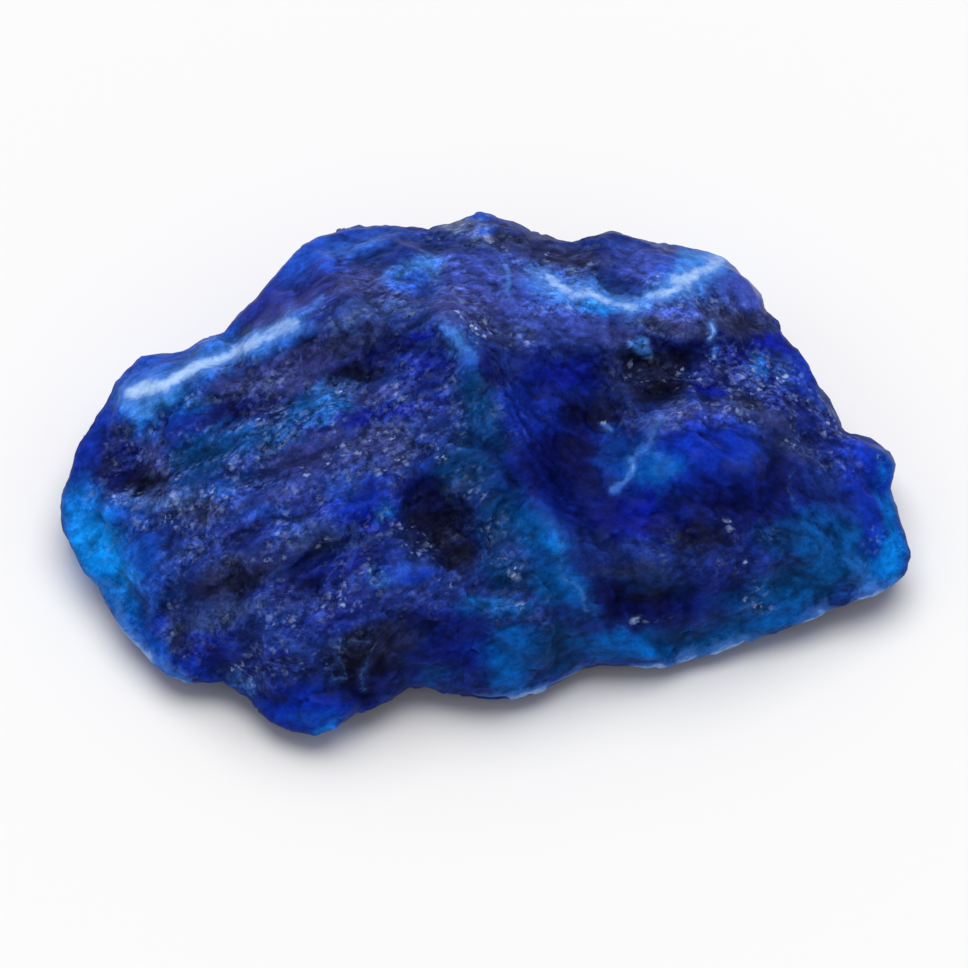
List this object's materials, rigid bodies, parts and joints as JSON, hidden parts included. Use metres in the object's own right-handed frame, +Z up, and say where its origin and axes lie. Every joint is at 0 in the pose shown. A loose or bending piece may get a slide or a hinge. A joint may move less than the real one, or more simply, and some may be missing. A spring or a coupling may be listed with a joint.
{
  "type": "hauyne mineral specimen",
  "caption": "Rough, broken piece of glassy deep blue hauyne with azure thin edges and pale veins, lying on its flattest side.",
  "frame": {"origin": "middle of the stone's box, on the surface it rests on", "axes": "+X along the stone, from the end with the pale crest to the other end; +Z up; -Y towards the lower, front edge"},
  "size_m": [0.0278, 0.02, 0.0079],
  "materials": {
    "hauyne": "broken, glassy, deep blue with pale veins"
  },
  "bodies": {
    "root": {"hauyne_stone": "hauyne"}
  },
  "joints": []
}
